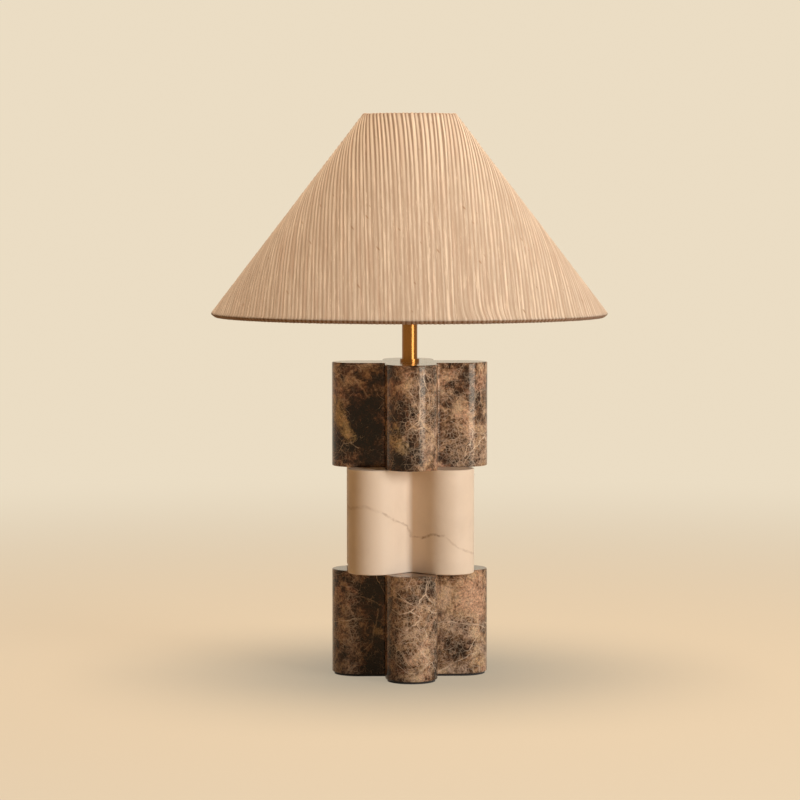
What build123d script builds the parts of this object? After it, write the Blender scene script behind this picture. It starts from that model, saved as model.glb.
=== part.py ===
from build123d import *
import math
import os

# Marble table lamp: three cross-shaped stone blocks clamped on a hollow threaded rod, a brass
# neck, a screw lampholder with a turn switch, a bulb, and a wide conical shade on a wire carrier.
# Millimetres, +Z up. The origin is the bottom centre, and the front of the lamp faces -Y.

# Stone blocks and the pad under them
BLOCK_SPAN = 141.0
BLOCK_ARM_WIDTH = 47.0
BLOCK_HEIGHT = 94.0
BLOCK_INNER_FILLET = 3.0
BLOCK_EDGE = 1.0
MIDDLE_TURN = 45.0
PAD_THICKNESS = 2.0
PAD_INSET = 2.0
POCKET_RADIUS = 26.0
POCKET_DEPTH = 22.0

# Cord inlet in the back arm of the base
CORD_BORE_RADIUS = 3.5
GROMMET_WALL = 2.0
GROMMET_DEPTH = 10.0
GROMMET_LIP = 2.0
GROMMET_HEAD = 2.0
GROMMET_FIT = 0.05
SPOTFACE_MARGIN = 0.5

# Threaded rod and what it clamps
ROD_RADIUS = 5.0
ROD_WALL = 1.5
ROD_TAIL = 2.8
BORE_CLEARANCE = 1.0
THREAD_FIT = 0.05
WASHER_MARGIN = 4.0
WASHER_THICKNESS = 3.0
LOCK_WASHER_WIDTH = 4.0
LOCK_WASHER_THICKNESS = 1.2
BASE_NUT_WALL = 3.5
BASE_NUT_HEIGHT = 6.0
NECK_GAP = 0.75
NECK_WALL = 1.25
NECK_LENGTH = 61.0
FLANGE_LIP = 1.75
FLANGE_HEIGHT = 2.7
NECK_NUT_WALL = 2.5
NECK_NUT_HEIGHT = 4.0

# Lampholder
CAP_NECK_WALL = 2.45
CAP_NECK_HEIGHT = 8.0
CAP_CORNER = 6.5
CAP_WALL = 1.0
GRUB_RADIUS = 1.5
TERMINAL_SPACE = 5.0
TERMINAL_RADIUS = 1.5
TERMINAL_LENGTH = 7.0
TERMINAL_HEAD_RADIUS = 2.8
TERMINAL_HEAD = 2.0
CORE_FLOOR = 3.0
CORE_ROOF = 4.5
CORE_FLANGE = 2.0
CORE_FLANGE_GAP = 1.0
CORE_WALL = 2.6
CORE_GAP = 0.5
CONTACT_RADIUS = 4.0
CONTACT_HEIGHT = 1.5
SCREW_SHELL_WALL = 0.5
SCREW_SHELL_RIM = 1.5
SCREW_CLEARANCE = 0.3
SHELL_GAP = 0.6
SHELL_WALL = 1.2
SHELL_RIDGE = 0.8
SHELL_PITCH = 2.0
SHELL_RIDGES = 8
SHELL_LEAD = 2.5
SHELL_SEAT = 2.0
SHELL_SKIRT = 6.0
SHELL_LIP = 4.0
HOLDER_FIT = 0.05

# Turn switch in the lampholder, on an axis along +X
SHAFT_RADIUS = 2.0
SHAFT_RUNNING_FIT = 0.06
SHAFT_GRIP = 9.0
ROTOR_RADIUS = 5.0
ROTOR_FLAT = 4.0
ROTOR_LENGTH = 12.0
ROTOR_CLEARANCE = 0.4
BUSH_WALL = 2.4
BUSH_LENGTH = 4.5
BUSH_COLLAR = 2.0
BUSH_COLLAR_LENGTH = 2.0
BUSH_FIT = 0.1
KNOB_RADIUS = 6.0
KNOB_LENGTH = 12.0
KNOB_EDGE = 1.2
KNOB_FLUTES = 12
KNOB_FLUTE_RADIUS = 0.8
KNOB_GAP = 0.4

# Screw-base bulb
BULB_RADIUS = 30.0
BULB_LENGTH = 108.0
BULB_SPLIT = 56.0
BULB_WALL = 1.2
BULB_CAP_RADIUS = 13.1
BULB_CAP_HEIGHT = 27.0
BULB_CAP_WALL = 0.4
BULB_THREAD_DEPTH = 1.0
BULB_THREAD_PITCH = 3.6
BULB_THREAD_TURNS = 4
BULB_THREAD_START = 6.5
BULB_NECK_LIP = 0.9
BULB_NECK_HEIGHT = 3.0
BULB_TIP_RADIUS = 4.8
BULB_TIP_HEIGHT = 1.5
BULB_FLOOR = 2.0
LED_BOARD_RADIUS = 18.0
LED_BOARD_THICKNESS = 1.6
DRIVER_WIDTH = 16.0
DRIVER_HEIGHT = 30.0
DRIVER_THICKNESS = 1.6

# Shade carrier and shade
FITTER_CLEARANCE = 0.4
FITTER_THICKNESS = 1.6
FITTER_EDGE = 1.0
CLAMP_CLEARANCE = 0.35
CLAMP_WALL = 4.0
CLAMP_HEIGHT = 8.0
CLAMP_GROOVES = 30
CLAMP_GROOVE_RADIUS = 0.7
ARM_COUNT = 3
ARM_FIRST_ANGLE = 90.0
ARM_RADIUS = 1.75
ARM_CLAMP_GAP = 1.5
ARM_BULB_GAP = 8.0
ARM_NOTCH_CLEARANCE = 0.3
TOP_RING_RADIUS = 40.0
BOTTOM_RING_RADIUS = 175.5
RING_RISE = 176.4
RING_DROP = 63.5
RING_WIRE_RADIUS = 2.0
LINER_THICKNESS = 0.4
COVER_THICKNESS = 1.2
COVER_FIT = 0.1
HEM_LAP = 8.0

# Heights of the stone stack and the neck
BASE_FLOOR = PAD_THICKNESS
MIDDLE_FLOOR = BASE_FLOOR + BLOCK_HEIGHT
TOP_FLOOR = MIDDLE_FLOOR + BLOCK_HEIGHT
STACK_TOP = TOP_FLOOR + BLOCK_HEIGHT
FLANGE_TOP = STACK_TOP + FLANGE_HEIGHT
NECK_TOP = FLANGE_TOP + NECK_LENGTH
HOLDER_FLOOR = NECK_TOP + NECK_NUT_HEIGHT
POCKET_ROOF = BASE_FLOOR + POCKET_DEPTH
CORD_HEIGHT = BASE_FLOOR + POCKET_DEPTH / 2

# Radii that follow the rod
BLOCK_BORE_RADIUS = ROD_RADIUS + BORE_CLEARANCE
THREAD_RADIUS = ROD_RADIUS + THREAD_FIT
NECK_RADIUS = ROD_RADIUS + NECK_GAP + NECK_WALL
CAP_NECK_RADIUS = THREAD_RADIUS + CAP_NECK_WALL

# Radii of the lampholder, from the bulb's screw cap outwards
SCREW_SHELL_RADIUS = BULB_CAP_RADIUS + SCREW_CLEARANCE + SCREW_SHELL_WALL
CORE_BORE_RADIUS = SCREW_SHELL_RADIUS + CORE_GAP
CORE_RADIUS = CORE_BORE_RADIUS + CORE_WALL
SHELL_BORE_RADIUS = CORE_RADIUS + SHELL_GAP
SHELL_ROOT_RADIUS = SHELL_BORE_RADIUS + SHELL_WALL
SHELL_CREST_RADIUS = SHELL_ROOT_RADIUS + SHELL_RIDGE
CAP_RADIUS = SHELL_CREST_RADIUS + SHELL_SEAT
CAP_BORE_RADIUS = CAP_RADIUS - CAP_WALL
BUSH_BORE_RADIUS = SHAFT_RADIUS + SHAFT_RUNNING_FIT
BUSH_RADIUS = BUSH_BORE_RADIUS + BUSH_WALL
ROTOR_CAVITY_RADIUS = ROTOR_RADIUS + ROTOR_CLEARANCE

# Heights of the lampholder and the bulb
CAP_SHOULDER = HOLDER_FLOOR + CAP_NECK_HEIGHT
CORE_BOTTOM = CAP_SHOULDER + CAP_WALL + TERMINAL_SPACE
SWITCH_HEIGHT = CORE_BOTTOM + CORE_FLOOR + ROTOR_CAVITY_RADIUS
CORE_TOP = SWITCH_HEIGHT + ROTOR_CAVITY_RADIUS + CORE_ROOF
CORE_FLANGE_BOTTOM = SWITCH_HEIGHT + BUSH_RADIUS + CORE_FLANGE_GAP
CORE_FLANGE_TOP = CORE_FLANGE_BOTTOM + CORE_FLANGE
CAP_RIM = CORE_FLANGE_TOP + SHELL_LIP
SEAT_HEIGHT = CAP_RIM + SHELL_SKIRT
SHELL_THREAD_START = SEAT_HEIGHT + SHELL_LEAD
SHELL_TOP = SHELL_THREAD_START + (SHELL_RIDGES + 1) * SHELL_PITCH
BULB_BOTTOM = CORE_TOP + CONTACT_HEIGHT
SCREW_SHELL_TOP = (
    BULB_BOTTOM + BULB_THREAD_START + BULB_THREAD_TURNS * BULB_THREAD_PITCH + SCREW_SHELL_RIM
)

# Shade carrier and shade places
FITTER_BORE_RADIUS = SHELL_CREST_RADIUS + FITTER_CLEARANCE
CLAMP_BORE_RADIUS = SHELL_CREST_RADIUS + CLAMP_CLEARANCE
CLAMP_RADIUS = CLAMP_BORE_RADIUS + CLAMP_WALL
CLAMP_FLOOR = SEAT_HEIGHT + FITTER_THICKNESS
ARM_FOOT_RADIUS = CLAMP_RADIUS + ARM_CLAMP_GAP + ARM_RADIUS
FITTER_RADIUS = ARM_FOOT_RADIUS + ARM_RADIUS + FITTER_EDGE
ARM_KNEE_RADIUS = BULB_RADIUS + ARM_BULB_GAP + ARM_RADIUS
ARM_KNEE_HEIGHT = BULB_BOTTOM + BULB_LENGTH - BULB_RADIUS
BOTTOM_RING_HEIGHT = SEAT_HEIGHT - RING_DROP
TOP_RING_HEIGHT = BOTTOM_RING_HEIGHT + RING_RISE
LINER_OFFSET = RING_WIRE_RADIUS + COVER_FIT
COVER_INNER = LINER_OFFSET + LINER_THICKNESS + COVER_FIT
COVER_OUTER = COVER_INNER + COVER_THICKNESS

ALONG_X = Rot(0, 90, 0)
ALONG_Y = Rot(-90, 0, 0)


def tube(outer, inner, bottom, top):
    """Straight tube about Z between two heights."""
    height = top - bottom
    wall = Circle(outer) - Circle(inner)
    return Pos(0, 0, bottom) * extrude(wall, height)


def rod(radius, bottom, top):
    """Solid round bar about Z between two heights."""
    return Pos(0, 0, bottom) * extrude(Circle(radius), top - bottom)


def turned(*edges):
    """Solid of revolution about Z from edges drawn as (radius, height)."""
    outline = make_face([edge for part in edges for edge in (Plane.XZ * part).edges()])
    return revolve(outline, Axis.Z)


def turned_points(*points):
    """Solid of revolution about Z from corner points given as (radius, height)."""
    return turned(Polyline(*points, close=True))


def hex_nut(wall, bottom, height):
    """Hexagon nut on the rod's thread, with its wall measured at the flats."""
    flats = RegularPolygon(THREAD_RADIUS + wall, 6, major_radius=False)
    return Pos(0, 0, bottom) * extrude(flats - Circle(THREAD_RADIUS), height)


def cross(span, width):
    """Plan of a block: two crossed slots with rounded inner corners."""
    plan = SlotOverall(span, width) + Rot(0, 0, 90) * SlotOverall(span, width)
    corners = plan.vertices().sort_by_distance((0, 0, 0))[:4]
    return fillet(corners, BLOCK_INNER_FILLET)


def stone_block(floor, turn):
    """Cross-shaped block with eased edges and a bore for the rod."""
    block = extrude(cross(BLOCK_SPAN, BLOCK_ARM_WIDTH), BLOCK_HEIGHT)
    ends = block.faces().filter_by(Plane.XY)
    block = fillet(ends.edges(), BLOCK_EDGE)
    block -= rod(BLOCK_BORE_RADIUS, 0, BLOCK_HEIGHT)
    return Pos(0, 0, floor) * Rot(0, 0, turn) * block


def inlet_face():
    """Distance from the axis to the flat that the grommet's head seats on."""
    end_radius = BLOCK_ARM_WIDTH / 2
    flat_radius = CORD_BORE_RADIUS + GROMMET_WALL + GROMMET_LIP + SPOTFACE_MARGIN
    return BLOCK_SPAN / 2 - end_radius + math.sqrt(end_radius**2 - flat_radius**2)


def base_block():
    """Bottom block, with the pocket for the washer and nut and the cord hole to the back."""
    block = stone_block(BASE_FLOOR, 0)
    block -= rod(POCKET_RADIUS, BASE_FLOOR, POCKET_ROOF)
    sleeve_radius = CORD_BORE_RADIUS + GROMMET_WALL + GROMMET_FIT
    flat_radius = sleeve_radius - GROMMET_FIT + GROMMET_LIP + SPOTFACE_MARGIN
    inlet = rod(sleeve_radius, 0, BLOCK_SPAN)
    spotface = rod(flat_radius, inlet_face(), BLOCK_SPAN)
    return block - Pos(0, 0, CORD_HEIGHT) * ALONG_Y * (inlet + spotface)


def base_pad():
    """Thin soft pad under the base, set in from the stone's edge."""
    return extrude(cross(BLOCK_SPAN - 2 * PAD_INSET, BLOCK_ARM_WIDTH - 2 * PAD_INSET), PAD_THICKNESS)


def cord_grommet():
    """Rubber sleeve with a head, in the mouth of the cord hole."""
    sleeve_radius = CORD_BORE_RADIUS + GROMMET_WALL
    face = inlet_face()
    sleeve = tube(sleeve_radius, CORD_BORE_RADIUS, face - GROMMET_DEPTH, face + GROMMET_HEAD)
    head = tube(sleeve_radius + GROMMET_LIP, CORD_BORE_RADIUS, face, face + GROMMET_HEAD)
    return Pos(0, 0, CORD_HEIGHT) * ALONG_Y * (sleeve + head)


def base_hardware():
    """Washer, lock washer and nut under the pocket's roof, and the rod's lower end."""
    washer_floor = POCKET_ROOF - WASHER_THICKNESS
    lock_floor = washer_floor - LOCK_WASHER_THICKNESS
    nut_floor = lock_floor - BASE_NUT_HEIGHT
    washer_radius = POCKET_RADIUS - WASHER_MARGIN
    return {
        "base_washer": tube(washer_radius, THREAD_RADIUS, washer_floor, POCKET_ROOF),
        "base_lock_washer": tube(THREAD_RADIUS + LOCK_WASHER_WIDTH, THREAD_RADIUS, lock_floor, washer_floor),
        "base_nut": hex_nut(BASE_NUT_WALL, nut_floor, BASE_NUT_HEIGHT),
        "lamp_rod": tube(ROD_RADIUS, ROD_RADIUS - ROD_WALL, nut_floor - ROD_TAIL, CAP_SHOULDER),
    }


def neck():
    """Flange on the stone, plain tube over the rod, and the nut that clamps the stack."""
    return {
        "neck_flange": tube(NECK_RADIUS + FLANGE_LIP, THREAD_RADIUS, STACK_TOP, FLANGE_TOP),
        "neck_tube": tube(NECK_RADIUS, ROD_RADIUS + NECK_GAP, FLANGE_TOP, NECK_TOP),
        "neck_nut": hex_nut(NECK_NUT_WALL, NECK_TOP, NECK_NUT_HEIGHT),
    }


def holder_cap():
    """Spun brass cap: threaded neck, rounded shoulder and a wall with holes for bush and screw."""
    corner_radius = CAP_RADIUS - CAP_CORNER
    corner_height = CAP_SHOULDER + CAP_CORNER
    inner_shoulder = CAP_SHOULDER + CAP_WALL
    outside = Polyline(
        (THREAD_RADIUS, inner_shoulder),
        (THREAD_RADIUS, HOLDER_FLOOR),
        (CAP_NECK_RADIUS, HOLDER_FLOOR),
        (CAP_NECK_RADIUS, CAP_SHOULDER),
        (corner_radius, CAP_SHOULDER),
    )
    outer_corner = CenterArc((corner_radius, corner_height), CAP_CORNER, 270, 90)
    rim = Polyline(
        (CAP_RADIUS, corner_height),
        (CAP_RADIUS, CAP_RIM),
        (CAP_BORE_RADIUS, CAP_RIM),
        (CAP_BORE_RADIUS, corner_height),
    )
    inner_corner = CenterArc((corner_radius, corner_height), CAP_CORNER - CAP_WALL, 270, 90)
    inside = Line((corner_radius, inner_shoulder), (THREAD_RADIUS, inner_shoulder))
    cap = turned(outside, outer_corner, rim, inner_corner, inside)
    bush_hole = ALONG_X * rod(BUSH_RADIUS + BUSH_FIT, CORE_RADIUS, CAP_RADIUS + BUSH_LENGTH)
    grub_hole = ALONG_Y * rod(GRUB_RADIUS + HOLDER_FIT, -CAP_RADIUS, -ROD_RADIUS)
    cap -= Pos(0, 0, SWITCH_HEIGHT) * bush_hole
    return cap - Pos(0, 0, HOLDER_FLOOR + CAP_NECK_HEIGHT / 2) * grub_hole


def cap_grub_screw():
    """Headless screw that locks the cap's neck on the rod."""
    screw = ALONG_Y * rod(GRUB_RADIUS, -CAP_NECK_RADIUS, -THREAD_RADIUS)
    return Pos(0, 0, HOLDER_FLOOR + CAP_NECK_HEIGHT / 2) * screw


def terminal_places():
    """Two places for the terminal screws, in front of and behind the switch rotor."""
    reach = ROTOR_CAVITY_RADIUS + CORE_FLOOR + TERMINAL_RADIUS
    return [Pos(0, side * reach, CORE_BOTTOM) for side in (-1, 1)]


def holder_core():
    """Insulating body: switch room below, cup for the screw shell above, and a clamping flange."""
    cup_top = SCREW_SHELL_TOP + CORE_GAP
    core = turned_points(
        (0, CORE_BOTTOM),
        (CORE_RADIUS, CORE_BOTTOM),
        (CORE_RADIUS, CORE_FLANGE_BOTTOM),
        (CAP_BORE_RADIUS - HOLDER_FIT, CORE_FLANGE_BOTTOM),
        (CAP_BORE_RADIUS - HOLDER_FIT, CORE_FLANGE_TOP),
        (CORE_RADIUS, CORE_FLANGE_TOP),
        (CORE_RADIUS, cup_top),
        (CORE_BORE_RADIUS, cup_top),
        (CORE_BORE_RADIUS, CORE_TOP),
        (0, CORE_TOP),
    )
    half_room = ROTOR_LENGTH / 2 + ROTOR_CLEARANCE
    room = rod(ROTOR_CAVITY_RADIUS, -half_room, half_room)
    room += rod(SHAFT_RADIUS + ROTOR_CLEARANCE, 0, CAP_RADIUS)
    core -= Pos(0, 0, SWITCH_HEIGHT) * ALONG_X * room
    for place in terminal_places():
        core -= place * rod(TERMINAL_RADIUS + HOLDER_FIT, 0, TERMINAL_LENGTH + HOLDER_FIT)
    return core


def terminal_screws():
    """Pair of cheese-head screws in the underside of the core."""
    screw = rod(TERMINAL_RADIUS, 0, TERMINAL_LENGTH) + rod(TERMINAL_HEAD_RADIUS, -TERMINAL_HEAD, 0)
    return Compound([place * screw for place in terminal_places()])


def holder_shell():
    """Brass skirt over the core: lip in the cap, seat for the carrier, and a ridged sleeve."""
    lip_radius = CAP_BORE_RADIUS - HOLDER_FIT
    points = [
        (lip_radius - CAP_WALL, CORE_FLANGE_TOP),
        (lip_radius, CORE_FLANGE_TOP),
        (lip_radius, CAP_RIM),
        (CAP_RADIUS, CAP_RIM),
        (CAP_RADIUS, SEAT_HEIGHT),
        (SHELL_ROOT_RADIUS, SEAT_HEIGHT),
    ]
    points += ridges(SHELL_ROOT_RADIUS, SHELL_RIDGE, SHELL_PITCH, SHELL_RIDGES, SHELL_THREAD_START)
    points += [
        (SHELL_ROOT_RADIUS, SHELL_TOP),
        (SHELL_BORE_RADIUS, SHELL_TOP),
        (SHELL_BORE_RADIUS, SEAT_HEIGHT - SHELL_WALL),
        (lip_radius - CAP_WALL, SEAT_HEIGHT - SHELL_WALL),
    ]
    return turned_points(*points)


def ridges(root, depth, pitch, count, start):
    """Points of rounded-off screw ridges, drawn as closed rings at the thread's pitch."""
    points = []
    for turn in range(count):
        floor = start + turn * pitch
        points.append((root, floor))
        points.append((root + depth, floor + pitch / 4))
        points.append((root + depth, floor + pitch / 2))
        points.append((root, floor + pitch * 3 / 4))
    return points


def bulb_ridges(offset):
    """The bulb cap's thread, moved outwards by an offset, in the lamp's own heights."""
    root = BULB_CAP_RADIUS - BULB_THREAD_DEPTH + offset
    start = BULB_BOTTOM + BULB_THREAD_START
    return ridges(root, BULB_THREAD_DEPTH, BULB_THREAD_PITCH, BULB_THREAD_TURNS, start)


def ridged_sleeve(inner_offset, wall, bottom, top):
    """Thin sleeve that follows the bulb's thread between two heights."""
    root = BULB_CAP_RADIUS - BULB_THREAD_DEPTH + inner_offset
    inside = [(root, bottom), *bulb_ridges(inner_offset), (root, top)]
    outside = [(radius + wall, height) for radius, height in reversed(inside)]
    return turned_points(*inside, *outside)


def screw_shell():
    """Threaded contact of the lampholder, seated in the core's cup."""
    return ridged_sleeve(SCREW_CLEARANCE, SCREW_SHELL_WALL, CORE_TOP, SCREW_SHELL_TOP)


def centre_contact():
    """Round contact stud under the bulb's tip."""
    return rod(CONTACT_RADIUS, CORE_TOP, BULB_BOTTOM)


def knob_start():
    """Distance along X where the knob begins, just clear of the bush."""
    return CAP_RADIUS + BUSH_LENGTH + KNOB_GAP


def switch_bush():
    """Bush through the cap's wall that carries the switch shaft, with a collar outside."""
    collar_start = CAP_RADIUS + BUSH_FIT
    collar_radius = BUSH_RADIUS + BUSH_COLLAR
    bush = tube(BUSH_RADIUS, BUSH_BORE_RADIUS, CORE_RADIUS + BUSH_FIT, CAP_RADIUS + BUSH_LENGTH)
    bush += tube(collar_radius, BUSH_BORE_RADIUS, collar_start, collar_start + BUSH_COLLAR_LENGTH)
    return Pos(0, 0, SWITCH_HEIGHT) * ALONG_X * bush


def switch_shaft():
    """Shaft from the rotor through the bush into the knob."""
    shaft = rod(SHAFT_RADIUS, -ROTOR_LENGTH / 2, knob_start() + SHAFT_GRIP)
    return Pos(0, 0, SWITCH_HEIGHT) * ALONG_X * shaft


def switch_rotor():
    """Cam with four flats that makes and breaks the contact every quarter turn."""
    cam = Rectangle(2 * ROTOR_FLAT, 2 * ROTOR_FLAT) & Circle(ROTOR_RADIUS)
    cam -= Circle(SHAFT_RADIUS + HOLDER_FIT)
    rotor = Pos(0, 0, -ROTOR_LENGTH / 2) * extrude(cam, ROTOR_LENGTH)
    return Pos(0, 0, SWITCH_HEIGHT) * ALONG_X * rotor


def switch_knob():
    """Fluted turn knob with eased ends and a blind hole for the shaft."""
    start = knob_start()
    knob = rod(KNOB_RADIUS, start, start + KNOB_LENGTH)
    knob = fillet(knob.edges().filter_by(GeomType.CIRCLE), KNOB_EDGE)
    flutes = PolarLocations(KNOB_RADIUS, KNOB_FLUTES) * rod(KNOB_FLUTE_RADIUS, start, start + KNOB_LENGTH)
    knob -= flutes
    knob -= rod(SHAFT_RADIUS + HOLDER_FIT, start, start + SHAFT_GRIP + HOLDER_FIT)
    return Pos(0, 0, SWITCH_HEIGHT) * ALONG_X * knob


def bulb_line(inset):
    """Neck, tangent point and split point of the bulb's outline, set in by a wall."""
    centre = BULB_LENGTH - BULB_RADIUS
    neck_radius = BULB_CAP_RADIUS + BULB_NECK_LIP
    neck_height = BULB_CAP_HEIGHT + BULB_NECK_HEIGHT
    reach = math.hypot(neck_radius, centre - neck_height)
    lean = math.acos(BULB_RADIUS / reach) - math.atan2(centre - neck_height, neck_radius)
    across, up = math.cos(lean), math.sin(lean)
    radius = BULB_RADIUS - inset
    touch = (radius * across, centre + radius * up)

    def at(height):
        return touch[0] + (touch[1] - height) * up / across

    return touch, at, centre, radius


def bulb_dome(inset):
    """Solid of the diffuser's outline above the split, set in by a wall."""
    touch, at, centre, radius = bulb_line(inset)
    lean = math.degrees(math.atan2(touch[1] - centre, touch[0]))
    side = Polyline((0, centre + radius), (0, BULB_SPLIT), (at(BULB_SPLIT), BULB_SPLIT), touch)
    return turned(side, CenterArc((0, centre), radius, lean, 90 - lean))


def bulb_housing():
    """White plastic body between the screw cap and the diffuser, hollow, with a closed top."""
    neck_radius = BULB_CAP_RADIUS + BULB_NECK_LIP
    neck_height = BULB_CAP_HEIGHT + BULB_NECK_HEIGHT
    roof = BULB_SPLIT - BULB_FLOOR
    outer = bulb_line(0)[1]
    inner = bulb_line(BULB_WALL)[1]
    return turned_points(
        (neck_radius - BULB_WALL, BULB_CAP_HEIGHT),
        (neck_radius, BULB_CAP_HEIGHT),
        (neck_radius, neck_height),
        (outer(BULB_SPLIT), BULB_SPLIT),
        (0, BULB_SPLIT),
        (0, roof),
        (inner(roof), roof),
        (neck_radius - BULB_WALL, neck_height),
    )


def bulb_parts():
    """Pieces of the bulb, standing on its tip."""
    insulator_top = BULB_THREAD_START - BULB_TIP_HEIGHT
    cap_root = BULB_CAP_RADIUS - BULB_THREAD_DEPTH
    driver_roof = BULB_SPLIT - BULB_FLOOR
    driver = Box(DRIVER_WIDTH, DRIVER_THICKNESS, DRIVER_HEIGHT, align=(Align.CENTER, Align.CENTER, Align.MAX))
    stand = Pos(0, 0, BULB_BOTTOM)
    return {
        "bulb_tip": stand * rod(BULB_TIP_RADIUS, 0, BULB_TIP_HEIGHT),
        "bulb_tip_insulator": stand
        * turned_points(
            (0, BULB_TIP_HEIGHT),
            (BULB_TIP_RADIUS, BULB_TIP_HEIGHT),
            (cap_root, insulator_top),
            (0, insulator_top),
        ),
        "bulb_cap": ridged_sleeve(
            -BULB_CAP_WALL, BULB_CAP_WALL, BULB_BOTTOM + insulator_top, BULB_BOTTOM + BULB_CAP_HEIGHT
        ),
        "bulb_housing": stand * bulb_housing(),
        "bulb_diffuser": stand * (bulb_dome(0) - bulb_dome(BULB_WALL)),
        "led_board": stand * rod(LED_BOARD_RADIUS, BULB_SPLIT, BULB_SPLIT + LED_BOARD_THICKNESS),
        "driver_board": stand * Pos(0, 0, driver_roof) * driver,
    }


def fitter_ring():
    """Flat ring that drops over the lampholder's sleeve and rests on its seat."""
    return tube(FITTER_RADIUS, FITTER_BORE_RADIUS, SEAT_HEIGHT, CLAMP_FLOOR)


def clamp_ring():
    """Round nut over the carrier ring, with grip grooves."""
    ring = tube(CLAMP_RADIUS, CLAMP_BORE_RADIUS, CLAMP_FLOOR, CLAMP_FLOOR + CLAMP_HEIGHT)
    groove = rod(CLAMP_GROOVE_RADIUS, CLAMP_FLOOR, CLAMP_FLOOR + CLAMP_HEIGHT)
    return ring - PolarLocations(CLAMP_RADIUS, CLAMP_GROOVES) * groove


def wire(radius, start, end):
    """Round wire between two points."""
    path = Line(start, end)
    return sweep(Plane(origin=path @ 0, z_dir=path % 0) * Circle(radius), path)


def carrier_arms(radius):
    """Wires from the fitter ring, round the bulb, to the top ring."""
    foot = (ARM_FOOT_RADIUS, 0, SEAT_HEIGHT + FITTER_THICKNESS / 2)
    knee = (ARM_KNEE_RADIUS, 0, ARM_KNEE_HEIGHT)
    head = (TOP_RING_RADIUS, 0, TOP_RING_HEIGHT)
    arm = wire(radius, foot, knee) + Pos(*knee) * Sphere(radius) + wire(radius, knee, head)
    step = 360 / ARM_COUNT
    return [Rot(0, 0, ARM_FIRST_ANGLE + turn * step) * arm for turn in range(ARM_COUNT)]


def fitter_arms():
    """The carrier's wires, cut back where they meet the two rings."""
    meets = fitter_ring() + shade_ring(TOP_RING_RADIUS, TOP_RING_HEIGHT)
    return Compound([arm - meets for arm in carrier_arms(ARM_RADIUS)])


def shade_ring(radius, height):
    """Round wire ring of the shade."""
    return Pos(0, 0, height) * Torus(radius, RING_WIRE_RADIUS)


def slant_length():
    """Distance between the two rings along the cone's side."""
    return math.hypot(BOTTOM_RING_RADIUS - TOP_RING_RADIUS, RING_RISE)


def on_slant(profile):
    """Move a profile, drawn along X with +Y outwards, on to the line between the two rings."""
    middle_radius = (TOP_RING_RADIUS + BOTTOM_RING_RADIUS) / 2
    middle_height = (TOP_RING_HEIGHT + BOTTOM_RING_HEIGHT) / 2
    lean = math.degrees(math.atan2(-RING_RISE, BOTTOM_RING_RADIUS - TOP_RING_RADIUS))
    return Plane.XZ * Pos(middle_radius, middle_height) * Rot(0, 0, lean) * profile


def shade_liner():
    """Stiff translucent cone between the two rings."""
    middle = LINER_OFFSET + LINER_THICKNESS / 2
    sheet = Pos(0, middle) * Rectangle(slant_length(), LINER_THICKNESS)
    return revolve(on_slant(sheet), Axis.Z)


def cover_panel(turn):
    """Half of the cloth cone, rolled round both rings and lapped inside, notched for the arms."""
    length = slant_length()
    inner_side = COVER_OUTER + COVER_FIT
    profile = SlotCenterToCenter(length, 2 * COVER_OUTER) - SlotCenterToCenter(length, 2 * COVER_INNER)
    profile -= Pos(0, -inner_side / 2) * Rectangle(length - 2 * HEM_LAP, inner_side)
    panel = Rot(0, 0, turn) * revolve(on_slant(profile), Axis.Z, 180)
    for arm in carrier_arms(ARM_RADIUS + ARM_NOTCH_CLEARANCE):
        panel -= arm
    return panel


def lamp():
    """Every piece of the lamp by name."""
    return {
        "base_pad": base_pad(),
        "base_block": base_block(),
        "middle_block": stone_block(MIDDLE_FLOOR, MIDDLE_TURN),
        "top_block": stone_block(TOP_FLOOR, 0),
        "cord_grommet": cord_grommet(),
        **base_hardware(),
        **neck(),
        "holder_cap": holder_cap(),
        "cap_grub_screw": cap_grub_screw(),
        "holder_core": holder_core(),
        "terminal_screws": terminal_screws(),
        "holder_shell": holder_shell(),
        "screw_shell": screw_shell(),
        "centre_contact": centre_contact(),
        "switch_bush": switch_bush(),
        "switch_shaft": switch_shaft(),
        "switch_rotor": switch_rotor(),
        "switch_knob": switch_knob(),
        **bulb_parts(),
        "fitter_ring": fitter_ring(),
        "fitter_arms": fitter_arms(),
        "clamp_ring": clamp_ring(),
        "shade_top_ring": shade_ring(TOP_RING_RADIUS, TOP_RING_HEIGHT),
        "shade_bottom_ring": shade_ring(BOTTOM_RING_RADIUS, BOTTOM_RING_HEIGHT),
        "shade_liner": shade_liner(),
        "shade_cover_front": cover_panel(180),
        "shade_cover_back": cover_panel(0),
    }


os.makedirs("parts", exist_ok=True)
for node, shape in lamp().items():
    export_step(shape, f"parts/{node}.step")
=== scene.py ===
"""Marble table lamp: finishes, ribbed shade cloth and a plain stage around the lamp's CAD frame."""

import math
from functools import partial

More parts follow.
